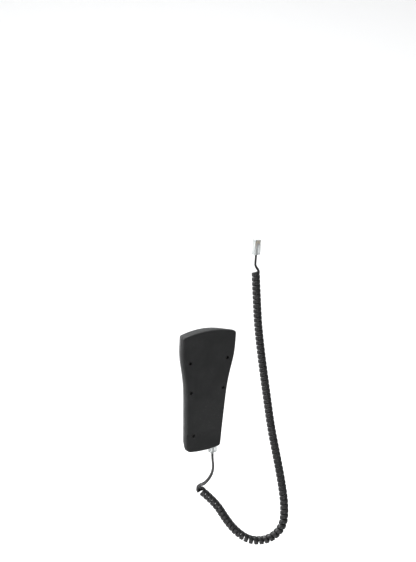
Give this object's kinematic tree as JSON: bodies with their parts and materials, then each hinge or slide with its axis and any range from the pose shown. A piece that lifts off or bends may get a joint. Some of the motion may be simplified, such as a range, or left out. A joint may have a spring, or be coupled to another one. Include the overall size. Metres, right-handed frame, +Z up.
{
  "type": "hand controller",
  "caption": "Handheld controller of a computerised telescope mount: dark two-shell body with display and keypad, and a curly cord with modular plugs.",
  "frame": {"origin": "middle of the handset where its head starts to flare, the place by which a slotted tray holds it upright", "axes": "+Z up the handset towards its display, the keys face -Y and the flat back faces +Y"},
  "size_m": [0.1894, 0.1277, 0.4629],
  "materials": {
    "shell_plastic": "fine moulded texture",
    "window_acrylic": "polished clear acrylic",
    "keypad_rubber": "matt silicone",
    "key_rubber": "matt silicone with printed legends",
    "circuit_board": "green solder mask",
    "screw_steel": "zinc plated",
    "bezel_steel": "black painted steel",
    "lcd_glass": "glass over a red-lit segment field",
    "backlight_plastic": "white light guide",
    "chip_plastic": "black moulding compound",
    "can_metal": "drawn can",
    "light_plastic": "clear red resin",
    "jack_plastic": "black nylon",
    "pin_metal": "nickel plated",
    "contact_metal": "gold flashed",
    "plug_clear": "clear polycarbonate",
    "cord_jacket": "satin black jacket"
  },
  "bodies": {
    "root": {"front_shell": "shell_plastic", "rear_shell": "shell_plastic", "display_window": "window_acrylic", "keypad_mat": "keypad_rubber", "main_board": "circuit_board", "lcd_board": "circuit_board", "case_screws": "screw_steel", "board_screws": "screw_steel", "lcd_frame": "bezel_steel", "lcd_glass": "lcd_glass", "lcd_backlight": "backlight_plastic", "lcd_driver_chips": "chip_plastic", "lcd_link_pins": "contact_metal", "processor_chip": "chip_plastic", "memory_chips": "chip_plastic", "interface_chip": "chip_plastic", "voltage_regulator": "chip_plastic", "crystal": "can_metal", "capacitors": "can_metal", "key_lights": "light_plastic", "mount_jack": "jack_plastic", "serial_jack": "jack_plastic", "power_jack": "jack_plastic", "power_jack_pin": "pin_metal", "mount_jack_contacts": "contact_metal", "serial_jack_contacts": "contact_metal", "plug_body": "plug_clear", "far_plug_body": "plug_clear", "plug_contacts": "contact_metal", "far_plug_contacts": "contact_metal", "cord_tail": "cord_jacket", "cord_coil": "cord_jacket", "far_cord_tail": "cord_jacket"},
    "key_esc_body": {"key_esc": "key_rubber"},
    "key_setup_body": {"key_setup": "key_rubber"},
    "key_enter_body": {"key_enter": "key_rubber"},
    "key_up_body": {"key_up": "key_rubber"},
    "key_down_body": {"key_down": "key_rubber"},
    "key_left_body": {"key_left": "key_rubber"},
    "key_right_body": {"key_right": "key_rubber"},
    "key_scroll_up_body": {"key_scroll_up": "key_rubber"},
    "key_scroll_down_body": {"key_scroll_down": "key_rubber"},
    "key_1_body": {"key_1": "key_rubber"},
    "key_2_body": {"key_2": "key_rubber"},
    "key_3_body": {"key_3": "key_rubber"},
    "key_4_body": {"key_4": "key_rubber"},
    "key_5_body": {"key_5": "key_rubber"},
    "key_6_body": {"key_6": "key_rubber"},
    "key_7_body": {"key_7": "key_rubber"},
    "key_8_body": {"key_8": "key_rubber"},
    "key_9_body": {"key_9": "key_rubber"},
    "key_0_body": {"key_0": "key_rubber"},
    "plug_latch_body": {"plug_latch": "plug_clear"},
    "far_plug_latch_body": {"far_plug_latch": "plug_clear"}
  },
  "joints": [
    {"name": "press_esc", "type": "slide", "parent": "root", "child": "key_esc_body", "axis": [0, 1, 0], "range_m": [0, 0.001], "stiffness_N_per_m": 500},
    {"name": "press_setup", "type": "slide", "parent": "root", "child": "key_setup_body", "axis": [0, 1, 0], "range_m": [0, 0.001], "stiffness_N_per_m": 500},
    {"name": "press_enter", "type": "slide", "parent": "root", "child": "key_enter_body", "axis": [0, 1, 0], "range_m": [0, 0.001], "stiffness_N_per_m": 500},
    {"name": "press_up", "type": "slide", "parent": "root", "child": "key_up_body", "axis": [0, 1, 0], "range_m": [0, 0.001], "stiffness_N_per_m": 500},
    {"name": "press_down", "type": "slide", "parent": "root", "child": "key_down_body", "axis": [0, 1, 0], "range_m": [0, 0.001], "stiffness_N_per_m": 500},
    {"name": "press_left", "type": "slide", "parent": "root", "child": "key_left_body", "axis": [0, 1, 0], "range_m": [0, 0.001], "stiffness_N_per_m": 500},
    {"name": "press_right", "type": "slide", "parent": "root", "child": "key_right_body", "axis": [0, 1, 0], "range_m": [0, 0.001], "stiffness_N_per_m": 500},
    {"name": "press_scroll_up", "type": "slide", "parent": "root", "child": "key_scroll_up_body", "axis": [0, 1, 0], "range_m": [0, 0.001], "stiffness_N_per_m": 500},
    {"name": "press_scroll_down", "type": "slide", "parent": "root", "child": "key_scroll_down_body", "axis": [0, 1, 0], "range_m": [0, 0.001], "stiffness_N_per_m": 500},
    {"name": "press_1", "type": "slide", "parent": "root", "child": "key_1_body", "axis": [0, 1, 0], "range_m": [0, 0.001], "stiffness_N_per_m": 500},
    {"name": "press_2", "type": "slide", "parent": "root", "child": "key_2_body", "axis": [0, 1, 0], "range_m": [0, 0.001], "stiffness_N_per_m": 500},
    {"name": "press_3", "type": "slide", "parent": "root", "child": "key_3_body", "axis": [0, 1, 0], "range_m": [0, 0.001], "stiffness_N_per_m": 500},
    {"name": "press_4", "type": "slide", "parent": "root", "child": "key_4_body", "axis": [0, 1, 0], "range_m": [0, 0.001], "stiffness_N_per_m": 500},
    {"name": "press_5", "type": "slide", "parent": "root", "child": "key_5_body", "axis": [0, 1, 0], "range_m": [0, 0.001], "stiffness_N_per_m": 500},
    {"name": "press_6", "type": "slide", "parent": "root", "child": "key_6_body", "axis": [0, 1, 0], "range_m": [0, 0.001], "stiffness_N_per_m": 500},
    {"name": "press_7", "type": "slide", "parent": "root", "child": "key_7_body", "axis": [0, 1, 0], "range_m": [0, 0.001], "stiffness_N_per_m": 500},
    {"name": "press_8", "type": "slide", "parent": "root", "child": "key_8_body", "axis": [0, 1, 0], "range_m": [0, 0.001], "stiffness_N_per_m": 500},
    {"name": "press_9", "type": "slide", "parent": "root", "child": "key_9_body", "axis": [0, 1, 0], "range_m": [0, 0.001], "stiffness_N_per_m": 500},
    {"name": "press_0", "type": "slide", "parent": "root", "child": "key_0_body", "axis": [0, 1, 0], "range_m": [0, 0.001], "stiffness_N_per_m": 500},
    {"name": "plug_latch_flex", "type": "hinge", "parent": "root", "child": "plug_latch_body", "pos_m": [-0.021, 0.00025, -0.0809], "axis": [1, 0, 0], "range_deg": [0, 6], "stiffness_Nm_per_rad": 0.02},
    {"name": "far_plug_latch_flex", "type": "hinge", "parent": "root", "child": "far_plug_latch_body", "pos_m": [-0.127, -0.06195, 0.2031], "axis": [1, 0, 0], "range_deg": [0, 6], "stiffness_Nm_per_rad": 0.02}
  ]
}
